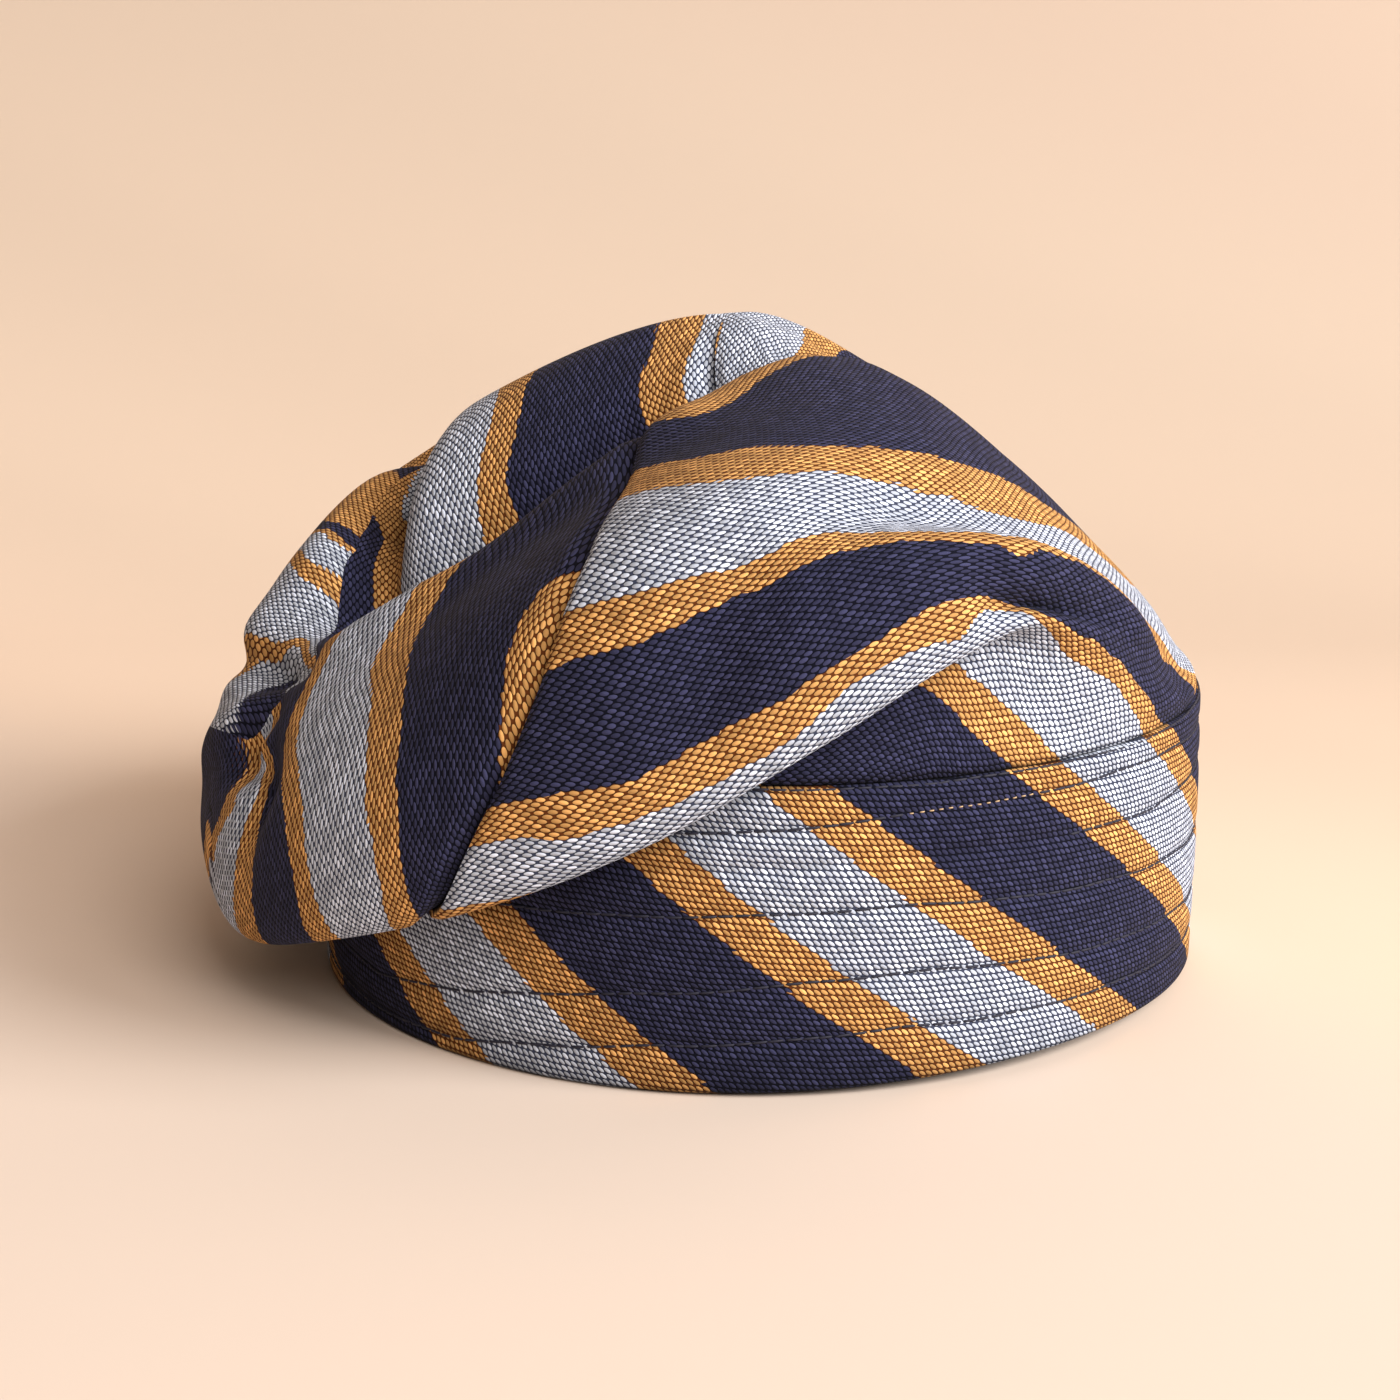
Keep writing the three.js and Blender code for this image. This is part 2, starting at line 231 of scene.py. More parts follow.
def bandAcross(angle, height):
    turn = (angle - climb["middle"][0]) / climb["steps"][0]
    rise = (height - climb["middle"][1]) / climb["steps"][1]
    near = np.clip(turn, *climb["seen"])
    bent = climb["bow"] * near ** 2 + climb["fan"] * near * rise + climb["curl"] * near ** 3
    return climb["place"] + climb["round"] * turn + climb["up"] * rise + bent


# Where stripe edges cross each panel: place across the cloth, then angle and station along the edge
stripeGuides = {
    "crownRight": (
        (0, ((290.6, 0.56), (293, 0.41), (296, 0.23))),
        (8.3, ((294, 0.67), (298, 0.5), (301, 0.35))),
        (26.2, ((246, 2.71), (254, 2.55), (261, 2.48), (267, 2.43), (275, 2.45), (279, 2.69), (284, 2.7),
                (287, 2.67), (290, 2.55), (291, 2.8), (293, 2.92), (295.5, 2.75), (298, 2.45), (301, 1.86),
                (303.5, 1.46), (306, 1.15), (309, 1.2), (313.5, 1.13), (317, 0.93), (320, 0.51))),
        (34.7, ((246, 2.94), (252, 2.84), (260, 2.73), (265, 2.76), (273, 2.8), (279, 2.94), (283, 3.03),
                (286, 3.08), (289, 3.09), (291.5, 3.06), (293.5, 3), (295.5, 2.87), (298, 2.58), (300.6, 2.1),
                (306, 1.75), (312.5, 1.6), (318, 1.38), (322.5, 0.98), (325.5, 0.29))),
        (14, ((295.5, 0.95), (296.5, 1.05))),
        (17, ((298.4, 0.99), (300.4, 0.86), (301.8, 0.78), (305.3, 0.67), (308.2, 0.52))),
        (40, ((294.5, 3.06), (296.2, 2.98), (298.2, 2.84), (300, 2.57), (301.4, 2.27))),
        (58, ((244, 3.56), (250, 3.51), (255, 3.48), (260, 3.51), (264, 3.54), (271, 3.55), (277, 3.57),
              (282, 3.53), (288, 3.45), (294, 3.37), (300, 3.31), (306, 3.22), (313, 3.1), (319.5, 2.95),
              (324, 2.6), (333, 2.25))),
        (66.3, ((244, 3.79), (249, 3.74), (254, 3.72), (260, 3.67), (264, 3.66), (268, 3.69), (275, 3.73),
                (279, 3.69), (283, 3.61), (288.4, 3.5), (294.5, 3.42), (300.6, 3.38), (308, 3.32),
                (316, 3.2), (326, 3.2), (335, 2.95), (341, 2.6), (343, 2.2))),
        (84.2, ((244, 4.5), (250, 4.39), (257, 4.25), (264, 4.18), (271, 4.15), (279, 4.12), (287, 4.08),
                (296, 4.02), (307, 3.97), (321, 3.93), (335, 3.73))),
        (92.7, ((244, 4.8), (248, 4.75), (257, 4.55), (265, 4.46), (272, 4.36), (280, 4.31), (290, 4.27),
                (300, 4.26), (314, 4.24), (329, 4.12), (348, 3.9))),
        (116, ((252, 5.05), (270, 5.18), (300, 5.3), (376, 5.38))),
        (141, ((300, 6), (244, 5.6))),
    ),
    "crownLeft": (
        (8.3, ((228, 5.61), (226, 5.75), (206, 5.87))),
        (8, ((244, 3.6), (244, 3.9))),
        (0, ((244, 3.05), (242, 3.31), (240, 3.6), (239, 3.9), (240, 4.05), (243, 4.06), (217, 5.54),
             (207, 5.64), (196, 5.68), (126, 5.5), (110, 4.8), (104, 3.1), (103, 2.3))),
        (-2, ((244, 4.5), (244, 4.8))),
        (-12, ((236, 4.9), (222, 5.25))),
        (-23.3, ((239, 2.49), (236, 2.84), (232, 3.27), (227, 3.75), (223, 4.08), (221, 4.36), (221, 4.6),
                 (202, 5.09), (192, 5.19), (179, 5.25), (132, 4.75), (118, 3.2), (115, 2.4))),
        (-31.8, ((236, 2.52), (233, 2.87), (228, 3.31), (222, 3.81), (217, 4.15), (217, 4.35), (199, 4.99),
                 (191, 5.07), (179, 5.11))),
        (-49.7, ((226.6, 2.62), (224, 2.94), (218.5, 3.39), (212, 3.77), (210, 3.96), (193, 4.57),
                 (176.5, 4.5), (157, 4.41))),
        (-58, ((225, 2.39), (223, 2.75), (220, 3.09), (216, 3.35), (213.5, 3.48), (210, 3.72), (208.5, 3.93),
               (194, 4.39), (189.5, 4.45), (179.5, 4.45), (150, 4.15), (138, 3.4), (133, 2.6))),
        (-81.3, ((214.4, 2.62), (214, 2.8), (214, 3), (210.5, 3.25), (208, 3.48), (207, 3.6))),
        (-89.8, ((209, 2.62), (210, 2.8), (210, 3), (209, 3.2), (208.5, 3.35), (205.5, 3.48), (204, 3.58))),
        (-107.7, ((196, 2.65), (201, 2.91), (204, 3.08), (205.5, 3.21), (207.6, 3.33), (204.5, 3.48),
                  (203, 3.58))),
        (-116.2, ((192, 2.75), (197, 2.9), (202, 3.03), (204, 3.15), (201.6, 3.33), (200, 3.47),
                  (199.5, 3.57))),
        (-128, ((193, 3.3), (188, 3), (186, 2.8))),
        # the stripes meet in a chevron at the pleat on the left
        (-138, ((187, 3.2), (183, 2.8), (179.5, 2.4), (179, 3.2), (175, 2.8), (171.5, 2.4))),
        (-146, ((184, 3.3), (183, 3.2), (181, 3), (179, 2.8), (177.2, 2.6), (175.5, 2.4), (174, 2.1))),
        (-114, ((167, 3.2), (163, 2.8), (159.5, 2.4))),
        (-90, ((155, 3.2), (151, 2.8), (147.5, 2.4))),
    ),
}
footAngles = {  # where the stripes of the band run on into the crown
    "crownRight": (244, 260, 280, 296, 306, 316, 326, 338, 360, 390, 420, 430),
    "crownLeft": (244, 230),
}


def chart(angle, run):
    turn = np.radians(angle)
    return np.stack((run * np.cos(turn), run * np.sin(turn)), axis=-1)


def sheetSpline(guides, values, wanted, give):
    scale = 100  # millimetres, keeps the numbers near one
    chunk = 8000  # points at a time, to spare memory

    def bend(a, b):
        square = ((a[:, None] - b[None]) ** 2).sum(2) / scale ** 2
        return square * np.log(square + 1e-12)

    count = len(guides)
    flat = np.hstack((np.ones((count, 1)), guides / scale))
    system = np.zeros((count + 3, count + 3))
    system[:count, :count] = bend(guides, guides) + give * np.eye(count)
    system[:count, count:] = flat
    system[count:, :count] = flat.T
    weights = np.linalg.solve(system, np.append(values, np.zeros(3)))
    result = np.empty(len(wanted))
    for start in range(0, len(wanted), chunk):
        part = wanted[start:start + chunk]
        level = np.hstack((np.ones((len(part), 1)), part / scale))
        result[start:start + chunk] = bend(part, guides) @ weights[:count] + level @ weights[count:]
    return result


def runFromPole(points):
    steps = np.linalg.norm(np.diff(points, axis=1), axis=2)
    total = np.concatenate((np.zeros((len(points), 1)), np.cumsum(steps, axis=1)), axis=1)
    return total[:, -1:] - total


def stripePlace(edges, feet, columns, stations, points, give):
    run = runFromPole(points)
    guides = []
    values = []
    for value, path in edges:
        for angle, station in path:
            guides.append((angle, station))
            values.append(value)
    for angle in feet:
        guides.append((angle, 0))
        values.append(bandAcross(angle, crown["foot"][1]))
    guides = np.array(guides, float)
    column = np.interp(guides[:, 0], columns, np.arange(len(columns)))
    row = np.interp(guides[:, 1], stations, np.arange(len(stations)))
    guideRun = run[np.round(column).astype(int), np.round(row).astype(int)]
    wanted = chart(np.repeat(columns, len(stations)), run.ravel())
    return sheetSpline(chart(guides[:, 0], guideRun), np.array(values), wanted, give).reshape(run.shape)


# A fold behind the roll shows its own stripes
lobe = {
    "outline": (  # by angle and station
        (153, 4.4), (160, 4.44), (168, 4.45), (180, 4.42), (187, 4.4), (191, 4.33), (194, 4.26), (204, 4.15),
        (206, 4.08), (204, 3.95), (202, 3.74), (200.5, 3.62), (192, 3.52), (180, 3.52), (172, 3.65),
        (164, 3.91), (157, 4.21),
    ),
    "scale": (2, 45),  # about the millimetres in a degree and in a station
    "over": (-0.86, -0.66, -0.385), "lengthways": (0.59, -0.8, -0.11),
    "edges": (  # millimetres over the fold, then angle and station along each edge
        (-13, ((160, 4.33), (167, 4.46))),
        (0, ((178.4, 4.28), (182.8, 4.38), (185.2, 4.43))),
        (4, ((180.5, 4.27), (185, 4.37), (187.1, 4.42))),
        (6, ((181.7, 4.27), (185.9, 4.36), (188.1, 4.41))),
        (13.5, ((179, 4.1), (187.5, 4.25), (191.4, 4.35))),
        (18, ((180.5, 4.05), (188.1, 4.19), (192.9, 4.28))),
        (36, ((185.7, 3.82), (193.9, 4.03), (208.8, 4.13))),
        (40, ((187.1, 3.63), (190.2, 3.74), (191, 3.84), (195, 3.96), (201.2, 4.08))),
        (48, ((201, 4.02), (196.2, 3.88), (196.8, 3.82), (199.3, 3.74), (197.9, 3.6))),
    ),
    "colours": ("navy", "gold", "navy", "gold", "silver", "gold", "silver", "gold", "silver", "navy"),
    "start": -20, "length": 80,
}


def lobeMap(columns, stations, points):
    angle, station = np.meshgrid(columns, stations, indexing="ij")
    outline = np.array(lobe["outline"], float) * lobe["scale"]
    spot = np.stack((angle, station), axis=-1) * lobe["scale"]
    inside = np.zeros(angle.shape, bool)
    away = np.full(angle.shape, np.inf)
    for k in range(len(outline)):
        a, b = outline[k - 1], outline[k]
        crosses = (a[1] > spot[..., 1]) != (b[1] > spot[..., 1])
        rise = b[1] - a[1] if b[1] != a[1] else 1e-9  # a level edge is never crossed
        inside ^= crosses & (spot[..., 0] < a[0] + (spot[..., 1] - a[1]) / rise * (b[0] - a[0]))
        t = np.clip((spot - a) @ (b - a) / ((b - a) @ (b - a)), 0, 1)
        away = np.minimum(away, np.linalg.norm(spot - a - t[..., None] * (b - a), axis=-1))
    weave = np.stack((points @ np.array(lobe["over"]), points @ np.array(lobe["lengthways"])), axis=-1)
    over = stripePlace(lobe["edges"], (), columns, stations, points, slack["stripes"])
    return weave, over, np.where(inside, away, -away)


# The net on which the threads are laid out evenly over the cloth
threadNet = {
    "shortest": 0.15, "flattest": 1e-6, "looseWeight": 1e-3, "looseWidth": 0.6, "coarsest": 24,
    "turns": 400, "goal": 1e-4, "hold": 1e-7,
}


def threadRun(points, across, angle, station, looseAt, crosswise):
    byColumn, byRow = np.gradient(points, axis=0), np.gradient(points, axis=1)
    acrossColumn, acrossRow = np.gradient(across, axis=0), np.gradient(across, axis=1)
    wideSquare, tallSquare = (byColumn ** 2).sum(2), (byRow ** 2).sum(2)
    skew = (byColumn * byRow).sum(2)
    spread = np.maximum(wideSquare * tallSquare - skew * skew, threadNet["flattest"])
    slope = ((tallSquare * acrossColumn - skew * acrossRow) / spread)[:, :, None] * byColumn
    slope = slope + ((wideSquare * acrossRow - skew * acrossColumn) / spread)[:, :, None] * byRow
    along = unit(slope) if crosswise else unit(np.cross(unit(np.cross(byColumn, byRow)), slope))
    columnStep, rowStep = np.diff(points, axis=0), np.diff(points, axis=1)
    columnWant = ((along[1:] + along[:-1]) / 2 * columnStep).sum(2)
    rowWant = ((along[:, 1:] + along[:, :-1]) / 2 * rowStep).sum(2)
    columnLength = np.maximum(np.linalg.norm(columnStep, axis=2), threadNet["shortest"])
    rowLength = np.maximum(np.linalg.norm(rowStep, axis=2), threadNet["shortest"])
    tall, wide = np.sqrt(tallSquare), np.sqrt(wideSquare)
    sure = np.minimum(np.linalg.norm(slope, axis=2), 1) ** 2
    if looseAt:  # the stripes turn back on themselves here, so the threads may part along a line
        width = np.diff(angle[:, 0]).mean() * threadNet["looseWidth"]
        line = np.interp(station, *zip(*looseAt))
        loose = (np.abs(angle - line) < width) & (station < looseAt[-1][0])
        sure = np.where(loose, threadNet["looseWeight"], sure)
    columnWeight = (tall[1:] + tall[:-1]) / 2 / columnLength * np.minimum(sure[1:], sure[:-1])
    rowWeight = (wide[:, 1:] + wide[:, :-1]) / 2 / rowLength * np.minimum(sure[:, 1:], sure[:, :-1])

    def gather(columnFlow, rowFlow):
        total = np.zeros(across.shape)
        total[1:] += columnFlow
        total[:-1] -= columnFlow
        total[:, 1:] += rowFlow
        total[:, :-1] -= rowFlow
        return total

    def spreadOut(value):
        flow = gather(columnWeight * np.diff(value, axis=0), rowWeight * np.diff(value, axis=1))
        return flow + threadNet["hold"] * value

    value = np.zeros(across.shape)
    if min(across.shape) > threadNet["coarsest"]:  # a coarser net gives the first guess
        half = (slice(None, None, 2),) * 2
        coarse = threadRun(points[half], across[half], angle[half], station[half], looseAt, crosswise)
        for count in across.shape[::-1]:
            fine, known = np.arange(count), np.arange(0, count, 2)
            coarse = np.array([np.interp(fine, known, line) for line in coarse]).T
        value = coarse
    rest = gather(columnWeight * columnWant, rowWeight * rowWant) - spreadOut(value)
    way = rest.copy()
    left = (rest ** 2).sum()
    for turn in range(threadNet["turns"]):  # conjugate gradients
        spreadWay = spreadOut(way)
        step = left / (way * spreadWay).sum()
        value += step * way
        rest -= step * spreadWay
        now = (rest ** 2).sum()
        if now < threadNet["goal"]:
            break
        way = rest + now / left * way
        left = now
    return value


def linear(hexColour):
    parts = [int(hexColour[k:k + 2], 16) / 255 for k in (1, 3, 5)]
    return [part / 12.92 if part <= 0.04045 else ((part + 0.055) / 1.055) ** 2.4 for part in parts] + [1]


def addNode(tree, kind, settings, links=None, ramp=None):
    node = tree.nodes.new("ShaderNode" + kind)
    for name, value in settings.items():
        if isinstance(name, str) and hasattr(node, name):
            setattr(node, name, value)
        else:
            node.inputs[name].default_value = value
    for name, source in (links or {}).items():  # a node stands for its first output
        tree.links.new(source.outputs[0] if hasattr(source, "outputs") else source, node.inputs[name])
    if ramp:  # how the ramp blends, then its stops
        node.color_ramp.interpolation, stops = ramp
        marks = node.color_ramp.elements
        marks.remove(marks[1])
        for number, (at, colour) in enumerate(stops):
            mark = marks.new(at) if number else marks[0]
            mark.position = at
            mark.color = colour
    return node


def newMaterial(name):
    material = bpy.data.materials.new(name)
    material.use_nodes = True
    return material, material.node_tree, material.node_tree.nodes["Principled BSDF"]


# Striped hand-loom cotton: warp grains in gold, silver and navy, the dark weft showing between them
yarns = {  # each has a step on a grey scale, and takes over the scale from a place below that step
    "gold": {"from": 0, "step": 0.16, "warp": "#cb9b60", "weft": "#532c12"},
    "silver": {"from": 0.33, "step": 0.5, "warp": "#c0cadd", "weft": "#343a4e"},
    "navy": {"from": 0.66, "step": 0.83, "warp": "#323450", "weft": "#090b18"},
}
crownWeave = {
    "warp": 0.72, "weft": 1.15,  # thread pitch in millimetres, a shade coarser than life so that it shows
    "grain": (0.53, 0.36), "cross": (0.5, 0.2),  # half width and length of a warp grain, then of the weft
    "grainEdge": {"From Min": -0.1, "From Max": 0.2},
    # painted shade: the weft's colour darkens where it sinks between the grains
    "weftGapShade": {"From Min": -0.3, "From Max": 0.5, "To Min": 0.42, "To Max": 1.1},
    "driftSize": 6.25, "wobble": 0.5,  # threads wander within half a millimetre, so no row is ruler straight
    "fewBright": 2, "grainTone": {"To Min": 0.76, "To Max": 1.42},
    "wearSize": 16.667, "wearTone": {"From Min": 0.3, "From Max": 0.7, "To Min": 0.92, "To Max": 1.06},
    # painted shade: how far the ambient occlusion reaches into the folds, and how dark it paints them
    "paintedShadeReach": 16, "paintedShadeTone": {"From Min": 0.25, "From Max": 0.9, "To Min": 0.35, "To Max": 1},
    "relief": 0.16, "uneven": 1.7, "unevenSize": 20.833,  # millimetres, as are the sizes above
    "roughness": 0.85, "specular": 0.07, "sheen": 0.02, "sheenRoughness": 0.5,
}
bandWeave = dict(crownWeave, grain=(0.49, 0.345), relief=0.1, uneven=0.9)  # pressed flatter by the quilting


def stripedCotton(name, weave):
    material, tree, shader = newMaterial(name)
    lobeSide = addNode(tree, "Attribute", {"attribute_name": "lobeSide"})
    onLobe = addNode(tree, "Math", {"operation": "GREATER_THAN", 1: 0}, {0: lobeSide.outputs["Fac"]})
    onCloth, onFold, onStripe = (addNode(tree, "UVMap", {"uv_map": layer})
                                 for layer in ("cloth", "lobe", "stripe"))
    place = addNode(tree, "Mix", {"data_type": "VECTOR"}, {0: onLobe, 4: onCloth, 5: onFold}).outputs[1]
    stripe = addNode(tree, "SeparateXYZ", {}, {0: onStripe})
    drift = addNode(tree, "TexNoise", {"Scale": 1 / weave["driftSize"], "Detail": 2}, {"Vector": place})
    centred = addNode(tree, "VectorMath", {"operation": "SUBTRACT", 1: (0.5, 0.5, 0.5)},
                      {0: drift.outputs["Color"]})
    moved = addNode(tree, "VectorMath", {"operation": "MULTIPLY_ADD", 1: (weave["wobble"],) * 3},
                    {0: centred, 2: place})
    parts = addNode(tree, "SeparateXYZ", {}, {0: moved})
    # plain weave: every other warp thread shows its grains half a step along
    warpPlace = addNode(tree, "Math", {"operation": "DIVIDE", 1: weave["warp"]}, {0: parts.outputs["X"]})
    warpNumber = addNode(tree, "Math", {"operation": "FLOOR"}, {0: warpPlace})
    warpPart = addNode(tree, "Math", {"operation": "FRACT"}, {0: warpPlace})
    warpSide = addNode(tree, "Math", {"operation": "SUBTRACT", 1: 0.5}, {0: warpPart})
    odd = addNode(tree, "Math", {"operation": "FLOORED_MODULO", 1: 2}, {0: warpNumber})
    weftPlace = addNode(tree, "Math", {"operation": "DIVIDE", 1: weave["weft"]}, {0: parts.outputs["Y"]})
    weftShift = addNode(tree, "Math", {"operation": "ADD"}, {0: weftPlace, 1: odd})
    grainPlace = addNode(tree, "Math", {"operation": "MULTIPLY", 1: 0.5}, {0: weftShift})
    grainNumber = addNode(tree, "Math", {"operation": "FLOOR"}, {0: grainPlace})
    grainPart = addNode(tree, "Math", {"operation": "FRACT"}, {0: grainPlace})
    grainSide = addNode(tree, "Math", {"operation": "SUBTRACT", 1: 0.5}, {0: grainPart})
    warpAway = addNode(tree, "Math", {"operation": "ABSOLUTE"}, {0: warpSide})
    grainAway = addNode(tree, "Math", {"operation": "ABSOLUTE"}, {0: grainSide})
    nextWarp = addNode(tree, "Math", {"operation": "SUBTRACT", 0: 1}, {1: warpAway})
    nextGrain = addNode(tree, "Math", {"operation": "SUBTRACT", 0: 0.5}, {1: grainAway})
    ovals = []  # this warp grain, the next warp's grain, then the weft over this warp and over the next
    for sideways, lengthways, size in ((warpAway, grainAway, "grain"), (nextWarp, nextGrain, "grain"),
                                       (warpAway, nextGrain, "cross"), (nextWarp, grainAway, "cross")):
        wide = addNode(tree, "Math", {"operation": "DIVIDE", 1: weave[size][0]}, {0: sideways})
        square = addNode(tree, "Math", {"operation": "MULTIPLY"}, {0: wide, 1: wide})
        long = addNode(tree, "Math", {"operation": "DIVIDE", 1: weave[size][1]}, {0: lengthways})
        ovals.append(addNode(tree, "Math", {"operation": "MULTIPLY_ADD"}, {0: long, 1: long, 2: square}))
    rises = []  # of the warp grains, then of the weft
    for first, second in (ovals[:2], ovals[2:]):
        oval = addNode(tree, "Math", {"operation": "MINIMUM"}, {0: first, 1: second})
        rises.append(addNode(tree, "Math", {"operation": "SUBTRACT", 0: 1}, {1: oval}))
    cover, weftGapShade = (
        addNode(tree, "MapRange", {"interpolation_type": "SMOOTHSTEP", **weave[edge]}, {"Value": rise})
        for edge, rise in zip(("grainEdge", "weftGapShade"), rises))
    fromNext = addNode(tree, "Math", {"operation": "LESS_THAN"}, {0: ovals[1], 1: ovals[0]})
    nextWay = addNode(tree, "Math", {"operation": "SIGN"}, {0: warpSide})
    thread = addNode(tree, "Math", {"operation": "MULTIPLY_ADD"}, {0: fromNext, 1: nextWay, 2: warpNumber})
    halfway = {"operation": "MULTIPLY_ADD", 1: weave["warp"], 2: weave["warp"] / 2}
    threadMiddle = addNode(tree, "Math", halfway, {0: thread})
    toMiddle = addNode(tree, "Math", {"operation": "SUBTRACT"}, {0: threadMiddle, 1: parts.outputs["X"]})
    # each thread keeps one colour, so the stripes change from thread to thread
    across, over = (addNode(tree, "Math", {"operation": "ADD"}, {0: stripe.outputs[part], 1: toMiddle})
                    for part in ("X", "Y"))
    repeat = addNode(tree, "Math", {"operation": "FLOORED_MODULO", 1: stripes["repeat"]}, {0: across})
    rampPlace = addNode(tree, "Math", {"operation": "DIVIDE", 1: stripes["repeat"]}, {0: repeat})
    lobeSpan = {"From Min": lobe["start"], "From Max": lobe["start"] + lobe["length"]}
    lobeRampPlace = addNode(tree, "MapRange", lobeSpan, {"Value": over})
    edges = [0] + [stripes[edge] / stripes["repeat"] for edge in ("gold", "silver", "secondGold")]
    steps = [[yarns[yarn]["step"]] * 3 + [1] for yarn in ("gold", "silver", "gold", "navy")]
    lobeEdges = [0] + [(edge - lobe["start"]) / lobe["length"] for edge, path in lobe["edges"]]
    lobeSteps = [[yarns[yarn]["step"]] * 3 + [1] for yarn in lobe["colours"]]
    mainStep = addNode(tree, "ValToRGB", {}, {0: rampPlace}, ("CONSTANT", zip(edges, steps)))
    lobeStep = addNode(tree, "ValToRGB", {}, {0: lobeRampPlace}, ("CONSTANT", zip(lobeEdges, lobeSteps)))
    step = addNode(tree, "Mix", {"data_type": "RGBA"}, {0: onLobe, 6: mainStep, 7: lobeStep}).outputs[2]
    warpStops, weftStops = ([(yarn["from"], linear(yarn[side])) for yarn in yarns.values()]
                            for side in ("warp", "weft"))
    warpColour = addNode(tree, "ValToRGB", {}, {0: step}, ("CONSTANT", warpStops))
    weftColour = addNode(tree, "ValToRGB", {}, {0: step}, ("CONSTANT", weftStops))
    grainSeed = addNode(tree, "CombineXYZ", {}, {0: thread, 1: grainNumber})
    grainChance = addNode(tree, "TexWhiteNoise", {"noise_dimensions": "2D"}, {"Vector": grainSeed})
    fewBright = addNode(tree, "Math", {"operation": "POWER", 1: weave["fewBright"]},
                        {0: grainChance.outputs["Value"]})
    grainTone = addNode(tree, "MapRange", weave["grainTone"], {"Value": fewBright})
    wear = addNode(tree, "TexNoise", {"Scale": 1 / weave["wearSize"], "Detail": 3}, {"Vector": place})
    wearTone = addNode(tree, "MapRange", weave["wearTone"], {"Value": wear.outputs["Fac"]})
    warpTone = addNode(tree, "Math", {"operation": "MULTIPLY"}, {0: grainTone, 1: wearTone})
    darken = {"data_type": "RGBA", "blend_type": "MULTIPLY", 0: 1}
    warpLook = addNode(tree, "Mix", darken, {6: warpColour, 7: warpTone}).outputs[2]
    # the weft colour takes its painted shade in the gaps between grains
    weftLook = addNode(tree, "Mix", darken, {6: weftColour, 7: weftGapShade}).outputs[2]
    look = addNode(tree, "Mix", {"data_type": "RGBA"}, {0: cover, 6: weftLook, 7: warpLook}).outputs[2]
    # painted shade: ambient occlusion darkens the cloth's colour deep in its folds, where shade falls
    paintedShadeAO = addNode(tree, "AmbientOcclusion", {"samples": 6, "Distance": weave["paintedShadeReach"] * mm})
    paintedShadeTone = addNode(tree, "MapRange", weave["paintedShadeTone"], {"Value": paintedShadeAO.outputs["AO"]})
    paintedShadeLook = addNode(tree, "Mix", darken, {6: look, 7: paintedShadeTone}).outputs[2]
    tree.links.new(paintedShadeLook, shader.inputs["Base Color"])
    # raised grains over the slight unevenness of worn cloth
    space = addNode(tree, "TexCoord", {})
    unevenScale = 1 / (weave["unevenSize"] * mm)
    uneven = addNode(tree, "TexNoise", {"Scale": unevenScale, "Detail": 3, "Roughness": 0.55},
                     {"Vector": space.outputs["Object"]})
    softBump = addNode(tree, "Bump", {"Strength": 1, "Distance": weave["uneven"] * mm},
                       {"Height": uneven.outputs["Fac"]})
    grainHeight = addNode(tree, "Math", {"operation": "MAXIMUM", 1: 0}, {0: rises[0]})
    grainBump = addNode(tree, "Bump", {"Strength": 1, "Distance": weave["relief"] * mm},
                        {"Height": grainHeight, "Normal": softBump})
    tree.links.new(grainBump.outputs[0], shader.inputs["Normal"])
    shader.inputs["Roughness"].default_value = weave["roughness"]
    shader.inputs["Specular IOR Level"].default_value = weave["specular"]
    shader.inputs["Sheen Weight"].default_value = weave["sheen"]
    shader.inputs["Sheen Roughness"].default_value = weave["sheenRoughness"]
    return material


crownCotton = stripedCotton("striped cotton", crownWeave)
bandCotton = stripedCotton("striped cotton, quilted", bandWeave)


def makePiece(name, points, faces, uvs, material, node):
    mesh = bpy.data.meshes.new(name)
    mesh.from_pydata((points * mm + axis).tolist(), [], faces)
    mesh.polygons.foreach_set("use_smooth", np.ones(len(mesh.polygons), bool))
    for layerName, flat in uvs.items():
        layer = mesh.uv_layers.new(name=layerName)
        layer.data.foreach_set("uv", np.asarray(flat, float).ravel())
    mesh.materials.append(material)
    piece = bpy.data.objects.new(name, mesh)
    bpy.context.scene.collection.objects.link(piece)
    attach(piece, "root")
    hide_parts(node)
    return piece


def gridQuads(columns, rows, first=0, flip=False):
    corner = (np.arange(columns - 1)[:, None] * rows + np.arange(rows - 1)[None]).ravel() + first
    quads = np.stack((corner, corner + rows, corner + rows + 1, corner + 1), axis=1)
    return (quads[:, ::-1] if flip else quads).tolist()


